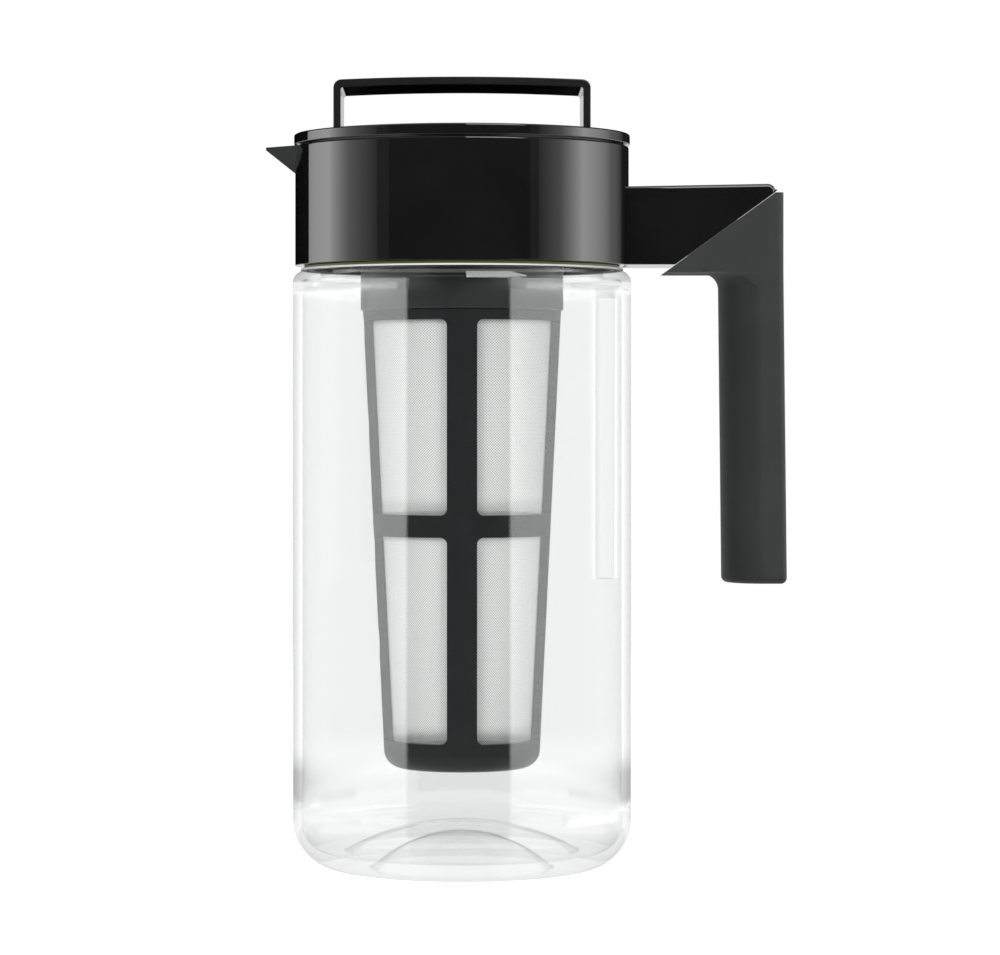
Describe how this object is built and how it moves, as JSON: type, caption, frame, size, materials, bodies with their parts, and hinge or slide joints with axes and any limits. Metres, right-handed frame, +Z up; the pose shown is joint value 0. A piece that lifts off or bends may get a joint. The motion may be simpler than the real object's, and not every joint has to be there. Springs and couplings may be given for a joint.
{
  "type": "cold brew coffee maker",
  "caption": "Clear jug with a black collar, pouring spout and side handle, and a screw-in strap lid that carries a hanging mesh filter.",
  "frame": {"origin": "centre of the ring that the jug stands on", "axes": "+Z up along the jug's axis, +X towards the side handle, -X towards the pouring spout"},
  "size_m": [0.1378, 0.09, 0.2093],
  "materials": {
    "clear_plastic": "clear, polished",
    "olive_rubber": "matte",
    "black_gloss": "high gloss",
    "black_satin": "satin",
    "plug_plastic": "satin",
    "core_plastic": "as moulded",
    "soft_grip": "soft matte",
    "seal_rubber": "matte",
    "filter_plastic": "satin",
    "nylon_mesh": "fine woven mesh"
  },
  "bodies": {
    "jug": {"pitcher_body": "clear_plastic", "neck_gasket": "olive_rubber", "collar": "black_gloss", "handle_core": "core_plastic", "grip": "soft_grip"},
    "rim_seal": {"rim_gasket": "seal_rubber"},
    "plug_seal": {"plug_gasket": "seal_rubber"},
    "lid": {"lid_cover": "black_gloss", "bail": "black_satin", "lid_plug": "plug_plastic"},
    "filter_seal": {"filter_gasket": "seal_rubber"},
    "filter": {"filter_frame": "filter_plastic", "filter_mesh": "nylon_mesh"}
  },
  "joints": [
    {"name": "lid_lift", "type": "slide", "parent": "jug", "child": "rim_seal", "axis": [0, 0, 1], "range_m": [0, 0.172]},
    {"name": "lid_rise", "type": "slide", "parent": "rim_seal", "child": "plug_seal", "axis": [0, 0, 1], "range_m": [0, 0.0032]},
    {"name": "lid_turn", "type": "hinge", "parent": "plug_seal", "child": "lid", "pos_m": [0, 0, 0.1921], "axis": [0, 0, 1], "range_deg": [0, 120]},
    {"name": "filter_drop", "type": "slide", "parent": "lid", "child": "filter_seal", "axis": [0, 0, -1], "range_m": [0, 0.0075]},
    {"name": "filter_turn", "type": "hinge", "parent": "filter_seal", "child": "filter", "pos_m": [0, 0, 0.1479], "axis": [0, 0, 1], "range_deg": [0, 300]}
  ],
  "couplings": [
    {"joint": "lid_rise", "follows": "lid_turn", "m_per_rad": 0.0015278},
    {"joint": "filter_drop", "follows": "filter_turn", "m_per_rad": 0.0014323}
  ]
}
